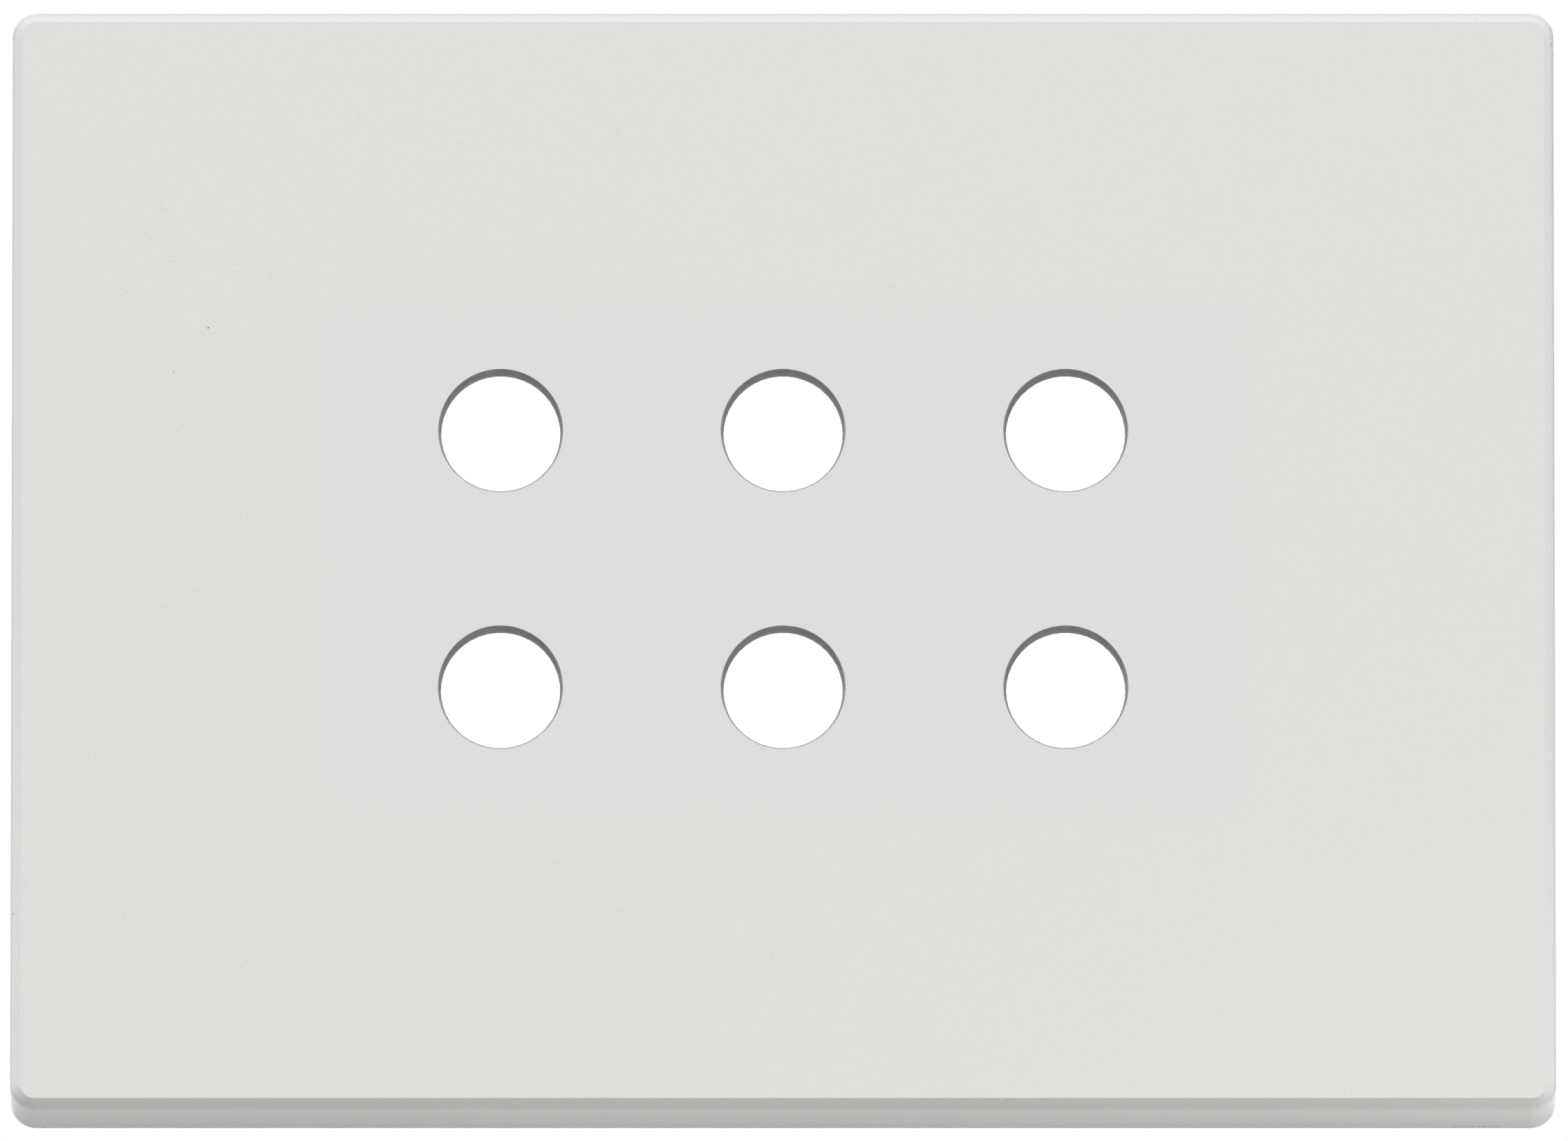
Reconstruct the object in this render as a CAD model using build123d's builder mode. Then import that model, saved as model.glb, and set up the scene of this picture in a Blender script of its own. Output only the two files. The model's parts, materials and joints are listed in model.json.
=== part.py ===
"""Cover plate for a six-button wall switch, moulded in one piece of white plastic.

The plate stands upright as it hangs on a wall: X runs left to right, Z runs up, and the front
faces -Y. The origin is the centre of the rim, in the plane of the wall. All sizes are in
millimetres, and all angles in degrees.
"""

import os
from math import atan, degrees, radians, tan

from build123d import *

# Overall form, measured at the rim that meets the wall
plate_width = 120.4
plate_height = 86.5
plate_depth = 11.0
wall_thickness = 2.0
mould_draft = 0.65

# Edges of the front, the rim and the hollow
rim_corner_radius = 2.0
bevel_inset = 0.76
bevel_depth = 0.6
shoulder_radius = 1.0
front_edge_radius = 0.12
cavity_corner_radius = 1.4
cavity_floor_radius = 0.8
rim_lead_in = 0.4

# Button holes: a tapered mouth in front of a round guide
button_columns = 3
button_rows = 2
button_pitch_across = 22.0
button_pitch_up = 20.2
guide_radius = 4.65
guide_length = 1.0
mouth_radius = 4.79
mouth_edge_bevel = 0.06
mouth_edge_angle = 90.0
collar_wall = 1.2
collar_height = 0.55

# Snap catches on the long sides, which hold the edge of the switch grid
catch_length = 9.0
catch_spacing = 66.0
catch_setback = 1.2
catch_ramp = 1.6
catch_reach = 0.8
catch_return = 0.5

# Seat ribs round the hollow, which the front of the switch grid rests on
grid_edge_thickness = 3.0
grid_play = 0.2
rib_thickness = 1.2
rib_reach = 2.0
rib_pitch = 22.0
ribs_on_long_side = 5
ribs_on_short_side = 3

# Round marks that the mould's ejector pins leave on the inside
ejector_radius = 2.5
ejector_height = 0.15
ejector_columns = 4
ejector_rows = 2
ejector_pitch_across = 30.0
ejector_pitch_up = 62.0

# Sizes that follow from those above
cavity_depth = plate_depth - wall_thickness
cavity_width = plate_width - 2 * wall_thickness
cavity_height = plate_height - 2 * wall_thickness
draft_slope = tan(radians(mould_draft))
floor_width = cavity_width - 2 * cavity_depth * draft_slope
floor_height = cavity_height - 2 * cavity_depth * draft_slope
hole_depth = wall_thickness + collar_height
mouth_depth = hole_depth - guide_length
mouth_angle = 2 * degrees(atan((mouth_radius - guide_radius) / mouth_depth))
mouth_edge_size = mouth_radius + mouth_edge_bevel
catch_tip_depth = catch_setback + catch_ramp
catch_end_depth = catch_tip_depth + catch_return
seat_depth = catch_tip_depth + grid_edge_thickness + grid_play
rib_height = cavity_depth - seat_depth
rib_root = wall_thickness / 2
rib_length = rib_reach + rib_root
rib_offset = rib_root - rib_reach

# Planes seen from the front: the wall, the inside of the front wall, and the face
rim_plane = Plane.XZ
floor_plane = rim_plane.offset(cavity_depth)
face_plane = rim_plane.offset(plate_depth)


def wall_line(depth):
    """Height of the hollow's long wall, at a depth from the rim."""
    return cavity_height / 2 - depth * draft_slope


def catch_profile():
    """Section of a catch as (depth, height) points: a long ramp from the rim, then a short return."""
    root_line = (cavity_height + wall_thickness) / 2
    return [
        (-catch_setback, root_line),
        (-catch_setback, wall_line(catch_setback)),
        (-catch_tip_depth, wall_line(catch_tip_depth) - catch_reach),
        (-catch_end_depth, wall_line(catch_end_depth)),
        (-catch_end_depth, root_line),
    ]


with BuildPart() as switch_plate:
    # Outer body, drawn in from the rim to the face by the mould's draft
    with BuildSketch(rim_plane):
        RectangleRounded(plate_width, plate_height, rim_corner_radius)
    extrude(amount=plate_depth, taper=mould_draft)

    # Flat bevel round the face, with a crisp front edge and a soft shoulder
    face = switch_plate.faces().sort_by(Axis.Y)[0]
    chamfer(face.edges(), length=bevel_inset, length2=bevel_depth, reference=face)
    _, _, shoulder, *_ = switch_plate.edges().group_by(Axis.Y)
    fillet(shoulder, radius=shoulder_radius)
    face = switch_plate.faces().sort_by(Axis.Y)[0]
    fillet(face.edges(), radius=front_edge_radius)

    # Hollow back, with the same draft as the outside so that the skirt is even
    with BuildSketch(rim_plane):
        RectangleRounded(cavity_width, cavity_height, cavity_corner_radius)
    extrude(amount=cavity_depth, taper=mould_draft, mode=Mode.SUBTRACT)
    floor = switch_plate.faces().filter_by(Axis.Y).sort_by(Axis.Y)[1]
    fillet(floor.edges(), radius=cavity_floor_radius)
    rim = switch_plate.faces().sort_by(Axis.Y)[-1]
    chamfer(rim.inner_wires()[0].edges(), length=rim_lead_in)

    # Seat ribs, standing in the corner between the front wall and the skirt
    with BuildSketch(floor_plane):
        with GridLocations(rib_pitch, floor_height + rib_offset, ribs_on_long_side, 2):
            Rectangle(rib_thickness, rib_length)
        with GridLocations(floor_width + rib_offset, rib_pitch, 2, ribs_on_short_side):
            Rectangle(rib_length, rib_thickness)
    extrude(amount=-rib_height)

    # Snap catches, one pair along the top of the skirt and one along the bottom
    for side in (-1, 1):
        with BuildSketch(Plane.YZ.offset(side * catch_spacing / 2)):
            with BuildLine():
                Polyline(*catch_profile(), close=True)
            make_face()
        catch = extrude(amount=catch_length / 2, both=True)
        mirror(catch, about=Plane.XY)

    # Ejector marks, standing a hair above the inside of the front wall
    with BuildSketch(floor_plane):
        with GridLocations(ejector_pitch_across, ejector_pitch_up, ejector_columns, ejector_rows):
            Circle(ejector_radius)
    extrude(amount=-ejector_height)

    # Guide collars on the inside, then the button holes through face and collars
    with BuildSketch(floor_plane):
        with GridLocations(button_pitch_across, button_pitch_up, button_columns, button_rows):
            Circle(guide_radius + collar_wall)
    extrude(amount=-collar_height)
    with Locations(face_plane):
        with GridLocations(button_pitch_across, button_pitch_up, button_columns, button_rows):
            CounterSinkHole(guide_radius, mouth_radius, counter_sink_angle=mouth_angle)
            CounterSinkHole(guide_radius, mouth_edge_size, counter_sink_angle=mouth_edge_angle)

switch_plate.part.label = "switch_plate"

os.makedirs("parts", exist_ok=True)
export_step(switch_plate.part, "parts/switch_plate.step")
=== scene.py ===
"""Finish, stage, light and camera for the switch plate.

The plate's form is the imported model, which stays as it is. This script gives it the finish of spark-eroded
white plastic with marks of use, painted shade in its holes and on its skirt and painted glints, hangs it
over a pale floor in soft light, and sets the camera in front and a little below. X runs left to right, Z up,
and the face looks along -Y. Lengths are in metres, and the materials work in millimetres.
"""

import json
from math import cos, radians, sin

import bpy
import numpy as np
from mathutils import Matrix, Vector


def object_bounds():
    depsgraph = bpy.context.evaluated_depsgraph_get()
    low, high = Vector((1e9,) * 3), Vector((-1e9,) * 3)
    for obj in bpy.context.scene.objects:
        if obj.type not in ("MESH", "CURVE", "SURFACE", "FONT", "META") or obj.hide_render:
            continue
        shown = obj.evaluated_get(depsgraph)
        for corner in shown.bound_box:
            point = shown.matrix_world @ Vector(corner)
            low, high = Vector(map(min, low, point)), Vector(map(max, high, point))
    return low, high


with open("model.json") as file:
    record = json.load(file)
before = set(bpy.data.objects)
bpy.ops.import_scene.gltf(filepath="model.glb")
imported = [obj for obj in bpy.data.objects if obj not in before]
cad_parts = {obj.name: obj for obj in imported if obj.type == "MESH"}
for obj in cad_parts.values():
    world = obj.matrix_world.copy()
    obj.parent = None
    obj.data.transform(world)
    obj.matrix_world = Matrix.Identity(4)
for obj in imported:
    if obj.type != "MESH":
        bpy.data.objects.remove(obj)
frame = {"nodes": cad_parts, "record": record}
cad_low, cad_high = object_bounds()

MM = 0.001
WHITE = (1.0, 1.0, 1.0, 1.0)
WHITE_STRENGTH = 1.0

# Sockets of the node that mixes colours, which has several of each name
MIX_AMOUNT = 0
MIX_FIRST = 6
MIX_SECOND = 7
MIX_RESULT = 2

# The plate's own sizes in millimetres, read from the frame
half_width = cad_high.x / MM
half_height = cad_high.z / MM
face_depth = -cad_low.y / MM
holes = [mount for mount in frame["record"]["mounts"] if mount["kind"] == "bore"]
hole_radius = holes[0]["dims"]["r_mm"]
hole_reach_across = max(hole["pos_m"][0] for hole in holes) / MM
hole_reach_up = max(hole["pos_m"][2] for hole in holes) / MM

# Columns of holes are counted from the middle one, so the outer ones are one away
outer_column = 1.0

# Camera: a long lens, so that the upright edges of the plate stay nearly parallel
lens_mm = 1000.0
sensor_mm = 36.0
far_limit = 10.0
photo_width_px = 2268
plate_width_px = 2230
view_elevation = -8.35
aim_drop = 0.11 * MM
aim_across = 0.07 * MM

# Floor under and behind the plate, lifted by a share towards white
floor_drop = 0.107
floor_centre = (0.0, 0.25)
floor_radius = 0.42
floor_fade_start = 0.18
floor_hub = 0.0005
floor_rings = 24
floor_spokes = 96
floor_shade = (0.80, 0.80, 0.80, 1.0)
floor_lift = 0.5

# Soft lamps: degrees from straight ahead, degrees above the horizon, distance, size and watts
softboxes = {
    "key_softbox": dict(bearing=0, height=46, distance=3.2, size=(2.4, 1.0), power=93.0),
    "front_softbox": dict(bearing=0, height=0, distance=1.6, size=(1.2, 0.5), power=8.3),
    "left_softbox": dict(bearing=-103, height=4, distance=1.4, size=(0.7, 0.7), power=7.5),
    "right_softbox": dict(bearing=98, height=-8, distance=1.4, size=(0.7, 0.7), power=7.0),
    "rear_softbox": dict(bearing=180, height=12, distance=1.5, size=(1.2, 0.6), power=9.8),
}

# Strip lamps under the plate: place, size and watts
strip_lamps = {
    "under_lamp": dict(place=(0.0, -0.004, -0.145), size=(0.5, 0.03), power=0.0525),
    "under_right_lamp": dict(place=(0.09, -0.011, -0.08), size=(0.1, 0.03), power=0.0068),
}

# Noises, as clumps to the millimetre and finer detail
grain_noise = (7.4, 1.0)
peel_noise = (1.3, 1.0)
speck_noise = (6.0, 1.0)
mottle_noise = (0.22, 2.0)
pip_noise = (7.5, 0.0)
tool_line_noise = (5.0, 2.0)
hole_shade_noise = (0.9, 4.0)
rim_break_noise = (0.8, 3.0)
ripple_noise = (9.0, 1.0)
smear_noise = (5.5, 3.0)
noise_middle = 0.5

# Two ends in a noise's range, between which a cloud, a pip, a break in the rim line or a clump of a smear
# comes up
cloud_ends = (0.3, 0.7)
pip_ends = (0.67, 0.86)
rim_break_ends = (0.25, 0.55)
clump_ends = (0.5, 0.62)

# Plastic: shades of the face, its grey-tinted bevels and painted glints, with faint mottling and warm and
# cool specks
warm_shade = (0.745, 0.750, 0.725, 1.0)
cool_shade = (0.737, 0.740, 0.7265, 1.0)
bevel_grey = (0.739, 0.739, 0.740, 1.0)
# Shade of the painted glints
glint_shade = (0.92, 0.92, 0.91, 1.0)
warm_speck = (1.04, 1.0, 0.945, 1.0)
cool_speck = (0.96, 1.0, 1.055, 1.0)
mottle_share = 0.35
matte_roughness = 0.52

# Grain: its height, the tint in its pits, and how far it stands out on plain and on rubbed plastic
grain_height = 0.024 * MM
grain_tint = 0.14
plain_grain = 0.62
rubbed_grain = 0.36
peel_share = 0.3

# Soft ends of zones, by how far they lie behind the face
rubbed_depth = (0.2, 0.4)
front_mark_depth = (1.43, 1.87)
bevel_tint_depth = (1.65, 2.2)
skirt_depth = (0.0, 13.75)

# Soft ends of zones, by how far they lie past the outline, so that inside it is less than nothing
bevel_tint_ends = (-0.95, -0.85)
skirt_ends = (-1.0, -0.8)

# Soft ends of zones, by how far they lie above the lowest edge
lower_shade_rise = (1.0, 3.0)
under_mark_rise = (1.4, 1.6)

# Soft ends of zones, by how far they lie behind the wall's plane, so that in front is less than nothing
rim_line_ends = (-0.5, -0.1)
back_face_ends = (-0.06, -0.01)

# Rubbed field round the button holes: how far past the outer holes it reaches, across and up
rubbed_margin = (17.0, 13.0)
rubbed_blend = 5.0

# Patches where small pips stand up from the grain, as (across, up, reach)
pip_patches = [
    (-52.0, 22.2, 6.0),
    (-46.8, 22.2, 6.5),
    (-41.5, 21.8, 5.5),
    (-48.4, 26.0, 4.5),
    (-53.5, 11.2, 3.0),
]
pip_patch_core = 0.1
pip_height = 1.1
# How much painted glint lies on the tops of the pips
pip_glint_share = 0.6

# Hidden inside: smoother than the front, with fine lines that run across from the making of the mould
core_margin = 1.3
core_blend = 0.2
core_roughness = 0.40
core_grain = 0.22
tool_line_stretch = (0.04, 1.0, 1.0)
tool_line_share = 0.8

# Painted shade: a cloudy grey darkening in the button holes, and a darkening of the skirt towards the rim
# One dark colour for the painted shade and for the dirt marks
shade_and_dirt_colour = (0.10, 0.10, 0.098, 1.0)
hole_shade = 0.47
hole_shade_reach = 0.24
side_shade = 0.16
side_shade_start = 0.93
mouth_shade = 0.56
mouth_shade_start = 0.13
hole_shade_blend = 0.05
hole_shade_roughness = 0.9
hole_shade_thin = 0.88
hole_shade_thick = 1.1
# Painted shade on the skirt: how dark at the rim, and its share on the sides and on the back face
skirt_shade = 0.32
side_shade_share = 0.3
back_shade_share = 0.4
rim_line = 0.12

# Round marks: solid out to one share of the radius, and gone at the other
spot_ends = (0.6, 1.3)

# Dark marks on the front, as (across, up, radius, strength): specks, nicks in the bevel, a tick on the edge
front_marks = [
    (-44.79, 18.2, 0.075, 0.95),
    (-47.46, 14.7, 0.055, 0.7),
    (-47.13, 10.15, 0.05, 0.5),
    (-59.85, -27.87, 0.07, 0.6),
    (17.35, -42.54, 0.05, 0.6),
    (-48.6, 43.0, 0.06, 0.3),
    (-45.5, 42.75, 0.06, 0.25),
    (37.35, 43.04, 0.07, 0.35),
    (49.98, 43.06, 0.06, 0.4),
    (54.08, 42.6, 0.05, 0.3),
    (54.2, 42.5, 0.04, 0.2),
    (55.04, 42.53, 0.05, 0.25),
    (55.3, 42.45, 0.04, 0.25),
    (55.64, 42.53, 0.05, 0.3),
]

# Dark marks on the underside, as (across, back, radius, strength), drawn out along the depth
under_marks = [
    (-57.55, -0.25, 0.09, 0.8),
    (-55.0, -5.9, 0.09, 0.25),
    (-54.6, -6.3, 0.08, 0.2),
    (-54.3, -6.0, 0.10, 0.3),
    (-33.7, -0.8, 0.08, 0.5),
    (-31.6, -0.8, 0.07, 0.5),
    (-10.94, -4.5, 0.08, 0.4),
    (-9.81, -3.3, 0.07, 0.4),
    (17.4, -2.1, 0.08, 0.6),
    (21.66, -0.8, 0.08, 0.6),
    (23.5, -2.1, 0.09, 0.2),
    (33.7, -2.4, 0.07, 0.5),
]
under_mark_squeeze = 0.25

# Painted glints: bright dots on the grain of the face, as (across, up, radius, strength)
painted_glints = [
    (41.98, -38.76, 0.045, 0.5),
    (45.57, -40.8, 0.045, 0.6),
    (46.8, -40.3, 0.045, 0.5),
    (43.93, -41.69, 0.05, 0.8),
    (43.76, -42.17, 0.04, 0.7),
    (45.95, -42.1, 0.05, 0.8),
    (48.76, -40.85, 0.04, 0.4),
    (51.86, -41.4, 0.05, 0.6),
]

# Dark smears, as (low corner, high corner, strength): at the rim below and on the upper right edge
smears = [
    ((52.3, -1.1, -44.0), (55.9, -0.2, -42.9), 1.0),
    ((59.85, -10.6, 40.5), (60.6, -9.9, 42.0), 0.45),
    ((59.98, -10.6, 37.0), (60.6, -9.9, 40.5), 0.25),
    ((60.0, -10.6, 27.5), (60.6, -9.9, 33.0), 0.18),
]
smear_blend = 0.15
ripple_reach = 0.12


class NodeSheet:
    """A node tree with short calls for adding nodes and linking them."""

    def __init__(self, tree):
        self.tree = tree
        tree.nodes.clear()

    def add(self, kind, inputs=None, **settings):
        """Adds one node, sets its properties, and fills or links its input sockets."""
        node = self.tree.nodes.new(kind)
        for name, value in settings.items():
            setattr(node, name, value)
        for socket, value in (inputs or {}).items():
            if isinstance(value, bpy.types.NodeSocket):
                self.tree.links.new(value, node.inputs[socket])
            else:
                node.inputs[socket].default_value = value
        return node

    def math(self, operation, *values):
        """Result of one operation on numbers."""
        return self.add("ShaderNodeMath", dict(enumerate(values)), operation=operation).outputs["Value"]

    def product(self, first, *others):
        """All the values multiplied together."""
        for other in others:
            first = self.math("MULTIPLY", first, other)
        return first

    def largest(self, first, *others):
        """The greatest of the values."""
        for other in others:
            first = self.math("MAXIMUM", first, other)
        return first

    def ease(self, value, ends, low=0.0, high=1.0):
        """Goes smoothly from low to high, while the value goes from the first end to the second."""
        start, end = ends
        limits = {"Value": value, "From Min": start, "From Max": end, "To Min": low, "To Max": high}
        return self.add("ShaderNodeMapRange", limits, interpolation_type="SMOOTHSTEP").outputs["Result"]

    def fade(self, value, ends):
        """Goes smoothly from one to nothing between two ends."""
        return self.ease(value, ends, 1.0, 0.0)

    def band(self, value, low, high, blend):
        """One between low and high, and nothing outside, with soft ends."""
        rise = self.ease(value, (low - blend, low))
        return self.product(rise, self.fade(value, (high, high + blend)))

    def scaled(self, spot, scale):
        """A vector with each of its parts multiplied."""
        return self.add("ShaderNodeVectorMath", {0: spot, 1: scale}, operation="MULTIPLY").outputs["Vector"]

    def distance(self, spot, other):
        """How far apart two places are."""
        return self.add("ShaderNodeVectorMath", {0: spot, 1: other}, operation="DISTANCE").outputs["Value"]

    def noise(self, spot, texture):
        """Cloudy noise from nothing to one, with so many clumps to the millimetre and so much detail."""
        per_mm, detail = texture
        clouds = {"Vector": spot, "Scale": per_mm, "Detail": detail}
        return self.add("ShaderNodeTexNoise", clouds).outputs["Fac"]

    def tint(self, amount, shade, other):
        """Colour that turns from one shade to the other by an amount."""
        shades = {MIX_AMOUNT: amount, MIX_FIRST: shade, MIX_SECOND: other}
        return self.add("ShaderNodeMix", shades, data_type="RGBA").outputs[MIX_RESULT]

    def blend(self, amount, first, second):
        """Shader that turns from the first to the second by an amount."""
        return self.add("ShaderNodeMixShader", {0: amount, 1: first, 2: second}).outputs["Shader"]


def new_material(name):
    """An empty material with its node sheet."""
    material = bpy.data.materials.new(name)
    material.use_nodes = True
    return material, NodeSheet(material.node_tree)


class PlateSpot:
    """Where a shaded point lies on the plate, in millimetres, as node outputs."""

    def __init__(self, sheet):
        place = sheet.add("ShaderNodeTexCoord").outputs["Object"]
        scaled = sheet.add("ShaderNodeVectorMath", {0: place, "Scale": 1.0 / MM}, operation="SCALE")
        self.spot = scaled.outputs["Vector"]
        parts = sheet.add("ShaderNodeSeparateXYZ", {0: self.spot})
        self.parts = parts.outputs["X"], parts.outputs["Y"], parts.outputs["Z"]
        self.across, self.back, self.up = self.parts
        self.across_size = sheet.math("ABSOLUTE", self.across)
        self.up_size = sheet.math("ABSOLUTE", self.up)
        self.depth = sheet.math("ADD", self.back, face_depth)
        self.rise = sheet.math("ADD", self.up, half_height)


def past_outline(sheet, at, height):
    """How far a point lies past the plate's outline, sideways or by its height: the greater of the two."""
    sideways = sheet.math("SUBTRACT", at.across_size, half_width)
    return sheet.largest(sideways, sheet.math("SUBTRACT", height, half_height))


def rubbed_field(sheet, at):
    """The field round the button holes, rubbed smooth by use: a soft-edged rectangle on the front."""
    margin_across, margin_up = rubbed_margin
    wide = hole_reach_across + margin_across
    tall = hole_reach_up + margin_up
    return sheet.product(
        sheet.fade(at.across_size, (wide - rubbed_blend, wide)),
        sheet.fade(at.up_size, (tall - rubbed_blend, tall)),
        sheet.fade(at.depth, rubbed_depth),
    )


def from_hole(sheet, at):
    """How far a point is from the axis of the nearest button hole, in all and sideways.

    The hole's column is the place across in pitches, rounded, and its row is the upper or the lower one.
    The distance is the root of the sum of the two offsets' squares.
    """
    column = sheet.math("ROUND", sheet.math("DIVIDE", at.across, hole_reach_across))
    column = sheet.math("MINIMUM", sheet.math("MAXIMUM", column, -outer_column), outer_column)
    off_across = sheet.math("SUBTRACT", at.across, sheet.product(column, hole_reach_across))
    off_up = sheet.math("SUBTRACT", at.up_size, hole_reach_up)
    squares = sheet.math("ADD", sheet.product(off_across, off_across), sheet.product(off_up, off_up))
    return sheet.math("SQRT", squares), sheet.math("ABSOLUTE", off_across)


def hole_painted_shade(sheet, at):
    """Painted shade in a button hole: darker at its sides and at the edge of its mouth, and cloudy."""
    reach, sideways = from_hole(sheet, at)
    shade_end = hole_radius + hole_shade_reach
    inner_end = shade_end - hole_shade_blend
    sides = sheet.ease(sideways, (side_shade_start, hole_radius), hole_shade, hole_shade + side_shade)
    shade_in_holes = sheet.product(sheet.fade(reach, (inner_end, shade_end)), sides)
    edge = sheet.band(reach, hole_radius + mouth_shade_start, inner_end, hole_shade_blend)
    clouds = sheet.ease(sheet.noise(at.spot, hole_shade_noise), cloud_ends, hole_shade_thin, hole_shade_thick)
    return sheet.product(sheet.largest(shade_in_holes, sheet.product(edge, mouth_shade)), clouds)


def skirt_shade_and_rim_line(sheet, at):
    """Painted shade on the skirt's outside, darker towards the rim and below, and a broken dark line at the
    wall.
    """
    outside = sheet.ease(past_outline(sheet, at, at.up_size), skirt_ends)
    darkening = sheet.ease(at.depth, skirt_depth, 0.0, skirt_shade)
    broken = sheet.ease(sheet.noise(at.spot, rim_break_noise), rim_break_ends, 0.0, rim_line)
    line = sheet.product(sheet.ease(at.back, rim_line_ends), broken)
    below = sheet.ease(at.rise, lower_shade_rise, 1.0, side_shade_share)
    behind = sheet.ease(at.back, back_face_ends, 1.0, back_shade_share)
    return sheet.product(outside, below, behind, sheet.math("ADD", darkening, line))


def spots(sheet, across, along, marks):
    """Round spots with soft edges at given places, as (across, along, radius, strength)."""
    place = sheet.add("ShaderNodeCombineXYZ", {"X": across, "Y": along}).outputs["Vector"]
    core, fringe = spot_ends
    amounts = []
    for mark_across, mark_along, radius, strength in marks:
        gap = sheet.distance(place, (mark_across, mark_along, 0.0))
        amounts.append(sheet.ease(gap, (core * radius, fringe * radius), strength, 0.0))
    return sheet.largest(*amounts)


def specks_and_nicks(sheet, at):
    """Dark spots on the front and on the underside, with outlines that sway a little by a fine noise."""
    ripple = sheet.noise(at.spot, ripple_noise)
    sway = sheet.math("MULTIPLY_ADD", ripple, ripple_reach, -ripple_reach * noise_middle)
    across = sheet.math("ADD", at.across, sway)
    squeezed = sheet.product(at.back, under_mark_squeeze)
    under_places = [(a, b * under_mark_squeeze, radius, strength) for a, b, radius, strength in under_marks]
    on_front = sheet.fade(at.depth, front_mark_depth)
    below = sheet.fade(at.rise, under_mark_rise)
    return sheet.largest(
        sheet.product(on_front, spots(sheet, across, at.up, front_marks)),
        sheet.product(below, spots(sheet, across, squeezed, under_places)),
    )


def dark_smears(sheet, at):
    """Dark smears: soft-edged boxes, broken up into clumps by a noise."""
    clumps = sheet.ease(sheet.noise(at.spot, smear_noise), clump_ends)
    amounts = []
    for low, high, strength in smears:
        spans = zip(at.parts, low, high)
        sides = [sheet.band(value, start, end, smear_blend) for value, start, end in spans]
        amounts.append(sheet.product(clumps, strength, *sides))
    return sheet.largest(*amounts)


def grey_tinted_bevels(sheet, at):
    """One on the bevel along the top and both sides of the face, where the plastic is tinted a neutral grey.
    """
    on_edge = sheet.ease(past_outline(sheet, at, at.up), bevel_tint_ends)
    return sheet.product(on_edge, sheet.fade(at.depth, bevel_tint_depth))


def core_side(sheet, at):
    """One on the hidden inside of the shell: behind the front wall, and within the skirt on all sides."""
    wide = half_width - core_margin
    tall = half_height - core_margin
    return sheet.product(
        sheet.fade(at.across_size, (wide - core_blend, wide)),
        sheet.fade(at.up_size, (tall - core_blend, tall)),
        sheet.ease(at.depth, (core_margin, core_margin + core_blend)),
    )


def grain_strength(sheet, rubbed, core):
    """How far the grain stands out: less in the rubbed field and on the inside."""
    strength = sheet.ease(rubbed, (0.0, 1.0), plain_grain, rubbed_grain)
    outer = sheet.product(strength, sheet.math("SUBTRACT", 1.0, core))
    return sheet.math("MULTIPLY_ADD", core, core_grain, outer)


def raised_pips(sheet, at):
    """Scattered pips: the peaks of a noise, kept within soft-edged round patches of the face."""
    patches = []
    for across, up, radius in pip_patches:
        gap = sheet.distance(at.spot, (across, -face_depth, up))
        patches.append(sheet.fade(gap, (pip_patch_core * radius, radius)))
    return sheet.product(sheet.largest(*patches), sheet.ease(sheet.noise(at.spot, pip_noise), pip_ends))


def surface_height(sheet, at, grain, pips, core):
    """Height of the surface: fine grain on slow waves, pips, and on the inside long lines across it."""
    waves = sheet.product(sheet.noise(at.spot, peel_noise), peel_share)
    lines = sheet.noise(sheet.scaled(at.spot, tool_line_stretch), tool_line_noise)
    height = sheet.math("ADD", grain, waves)
    height = sheet.math("MULTIPLY_ADD", pips, pip_height, height)
    return sheet.math("ADD", height, sheet.product(lines, core, tool_line_share))


def clean_shade(sheet, at, rubbed, grain, strength, pips):
    """Colour of the clean plastic: cooler where rubbed or mottled, greyer on top and side bevels, painted
    glints.
    """
    clouds = sheet.ease(sheet.noise(at.spot, mottle_noise), cloud_ends)
    coolness = sheet.largest(rubbed, sheet.product(clouds, mottle_share))
    shade = sheet.tint(coolness, warm_shade, cool_shade)
    shade = sheet.tint(grey_tinted_bevels(sheet, at), shade, bevel_grey)
    specks = sheet.noise(at.spot, speck_noise)
    shade = sheet.scaled(shade, sheet.tint(specks, warm_speck, cool_speck))
    pits = sheet.product(sheet.math("SUBTRACT", grain, noise_middle), grain_tint, strength)
    shade = sheet.scaled(shade, sheet.math("ADD", pits, 1.0))
    # Painted glints: the listed bright dots and the tops of the pips
    glints = sheet.largest(spots(sheet, at.across, at.up, painted_glints), sheet.product(pips, pip_glint_share))
    return sheet.tint(glints, shade, glint_shade)


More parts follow.
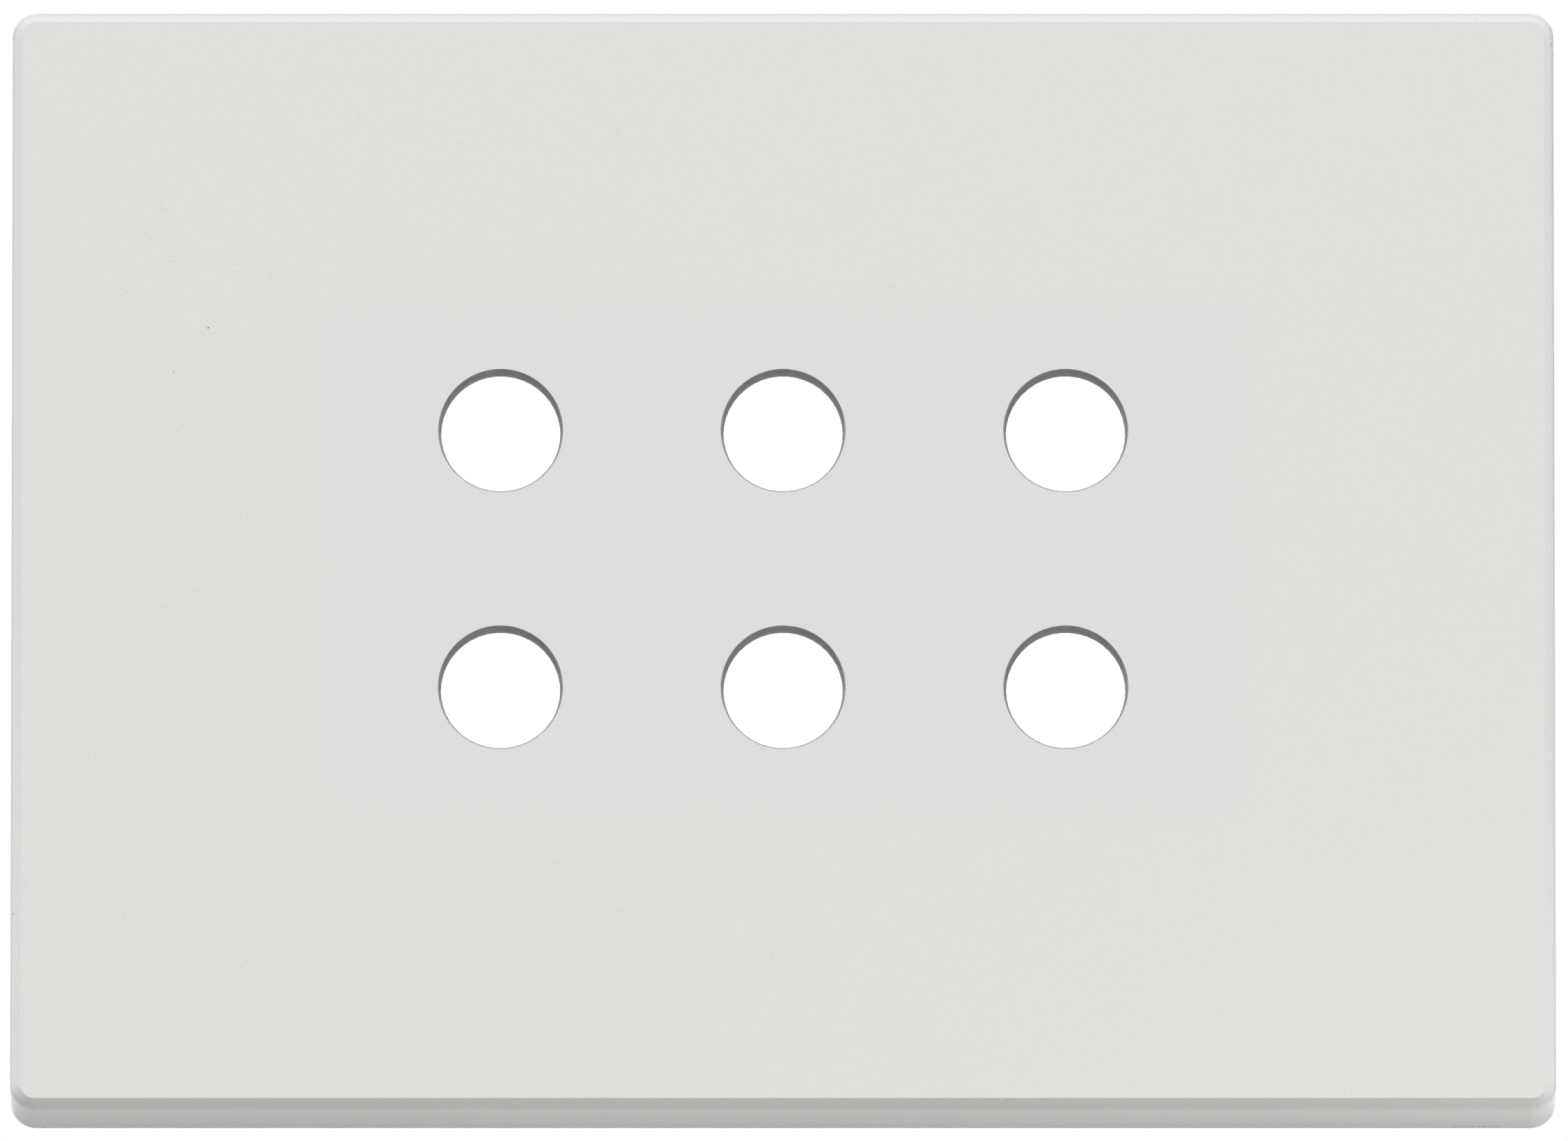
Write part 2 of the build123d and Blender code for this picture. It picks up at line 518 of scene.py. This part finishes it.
def moulded_plastic(name):
    """White moulded plastic: matte grain, a rubbed middle, painted shade in the holes and on the skirt,
    painted glints.
    """
    material, sheet = new_material(name)
    at = PlateSpot(sheet)
    rubbed = rubbed_field(sheet, at)
    core = core_side(sheet, at)
    strength = grain_strength(sheet, rubbed, core)
    pips = raised_pips(sheet, at)
    grain = sheet.noise(at.spot, grain_noise)

    # Painted shade in the button holes
    shade_in_holes = hole_painted_shade(sheet, at)
    marks = sheet.largest(specks_and_nicks(sheet, at), dark_smears(sheet, at))
    # Painted shade in the holes and on the skirt, and the dark specks and smears, in one dark colour
    shade_and_dirt = sheet.largest(shade_in_holes, skirt_shade_and_rim_line(sheet, at), marks)
    shade = sheet.tint(shade_and_dirt, clean_shade(sheet, at, rubbed, grain, strength, pips), shade_and_dirt_colour)

    roughness = sheet.largest(
        sheet.ease(core, (0.0, 1.0), matte_roughness, core_roughness),
        sheet.ease(shade_in_holes, (0.0, hole_shade), 0.0, hole_shade_roughness),
    )
    height = surface_height(sheet, at, grain, pips, core)
    relief = sheet.add("ShaderNodeBump", {"Height": height, "Strength": strength, "Distance": grain_height})
    shader = sheet.add(
        "ShaderNodeBsdfPrincipled",
        {"Base Color": shade, "Roughness": roughness, "Normal": relief.outputs["Normal"]},
    )
    sheet.add("ShaderNodeOutputMaterial", {"Surface": shader.outputs["BSDF"]})
    return material


def seen_rays(sheet):
    """One for what is seen straight, in a reflection or through glass, and nothing for scattered light."""
    path = sheet.add("ShaderNodeLightPath").outputs
    return sheet.largest(path["Is Camera Ray"], path["Is Glossy Ray"], path["Is Transmission Ray"])


def pale_floor(name):
    """Pale matt floor, lifted towards white to the eye, that thins out to nothing towards its rim."""
    material, sheet = new_material(name)
    place = sheet.add("ShaderNodeTexCoord").outputs["Object"]
    reach = sheet.distance(place, (*floor_centre, cad_low.z - floor_drop))
    paint = sheet.add("ShaderNodeBsdfDiffuse", {"Color": floor_shade}).outputs["BSDF"]
    glow = {"Color": WHITE, "Strength": WHITE_STRENGTH}
    white = sheet.add("ShaderNodeEmission", glow).outputs["Emission"]
    clear = sheet.add("ShaderNodeBsdfTransparent").outputs["BSDF"]
    lift = sheet.product(seen_rays(sheet), floor_lift)
    pale = sheet.blend(lift, paint, white)
    thinning = sheet.ease(reach, (floor_fade_start, floor_radius))
    sheet.add("ShaderNodeOutputMaterial", {"Surface": sheet.blend(thinning, pale, clear)})
    return material


def ring_faces(rings, spokes):
    """Quads between rings: corner (i, j) joins (i+1, j), (i+1, j+1) and (i, j+1), all round."""
    i, j = np.meshgrid(np.arange(rings - 1), np.arange(spokes), indexing="ij")
    after = (j + 1) % spokes
    corners = [i * spokes + j, (i + 1) * spokes + j, (i + 1) * spokes + after, i * spokes + after]
    return np.stack(corners, axis=-1).reshape(-1, len(corners))


def floor_disc(name):
    """Flat disc: radius r from the hub to the rim and angle a round it, at centre + (r cos a, r sin a)."""
    reach = np.linspace(floor_hub, floor_radius, floor_rings)
    turn = np.linspace(0.0, 2.0 * np.pi, floor_spokes, endpoint=False)
    r, a = np.meshgrid(reach, turn, indexing="ij")
    across, along = floor_centre
    height = np.full_like(r, cad_low.z - floor_drop)
    points = np.stack([across + r * np.cos(a), along + r * np.sin(a), height], axis=-1)
    mesh = bpy.data.meshes.new(name)
    mesh.from_pydata(points.reshape(-1, 3), [], ring_faces(floor_rings, floor_spokes))
    mesh.materials.append(pale_floor("floor_paint"))
    disc = bpy.data.objects.new(name, mesh)
    bpy.context.scene.collection.objects.link(disc)


def towards(bearing, height):
    """Direction from the plate: bearing turns right from straight ahead, height up from the horizon."""
    turn = radians(bearing)
    rise = radians(height)
    return Vector((sin(turn) * cos(rise), -cos(turn) * cos(rise), sin(rise)))


def hang_lamp(name, place, size, power):
    """Rectangular lamp at a place, turned towards the plate and out of the camera's sight."""
    lamp = bpy.data.lights.new(name, "AREA")
    lamp.shape = "RECTANGLE"
    lamp.size, lamp.size_y = size
    lamp.energy = power
    box = bpy.data.objects.new(name, lamp)
    box.location = place
    box.rotation_mode = "QUATERNION"
    box.rotation_quaternion = (-Vector(place)).to_track_quat("-Z", "Y")
    box.visible_camera = False
    bpy.context.scene.collection.objects.link(box)


def hang_softbox(name, bearing, height, distance, size, power):
    """Soft lamp at a bearing, height and distance from the plate."""
    hang_lamp(name, towards(bearing, height) * distance, size, power)


def white_surround():
    """World that is white to the eye and in reflections, and dark to scattered light."""
    world = bpy.data.worlds.new("white_surround")
    world.use_nodes = True
    sheet = NodeSheet(world.node_tree)
    glow = {"Color": WHITE, "Strength": WHITE_STRENGTH}
    white = sheet.add("ShaderNodeBackground", glow).outputs["Background"]
    dark = sheet.add("ShaderNodeBackground", {"Strength": 0.0}).outputs["Background"]
    sheet.add("ShaderNodeOutputWorld", {"Surface": sheet.blend(seen_rays(sheet), dark, white)})
    bpy.context.scene.world = world


def aim_camera():
    """Camera in front of the plate and below it, far enough for the plate to fill the picture's width."""
    plate_width = cad_high.x - cad_low.x
    frame_width = plate_width * photo_width_px / plate_width_px
    rim_distance = frame_width * lens_mm / sensor_mm
    half_depth = (cad_high.y - cad_low.y) / 2
    aim = (cad_low + cad_high) / 2 + Vector((aim_across, 0.0, -aim_drop))
    back = towards(0.0, view_elevation)
    lens = bpy.data.cameras.new("camera")
    lens.sensor_width = sensor_mm
    lens.lens = lens_mm
    lens.clip_end = far_limit
    camera = bpy.data.objects.new("camera", lens)
    camera.location = aim + back * (rim_distance - half_depth)
    camera.rotation_mode = "QUATERNION"
    camera.rotation_quaternion = (-back).to_track_quat("-Z", "Y")
    bpy.context.scene.collection.objects.link(camera)
    bpy.context.scene.camera = camera


plate = frame["nodes"]["switch_plate"]
plate.material_slots[0].material = moulded_plastic("white_plastic")

floor_disc("floor")
for box_name, box in softboxes.items():
    hang_softbox(box_name, **box)
for strip_name, strip in strip_lamps.items():
    hang_lamp(strip_name, **strip)
white_surround()
aim_camera()
bpy.context.scene.view_settings.view_transform = "Standard"
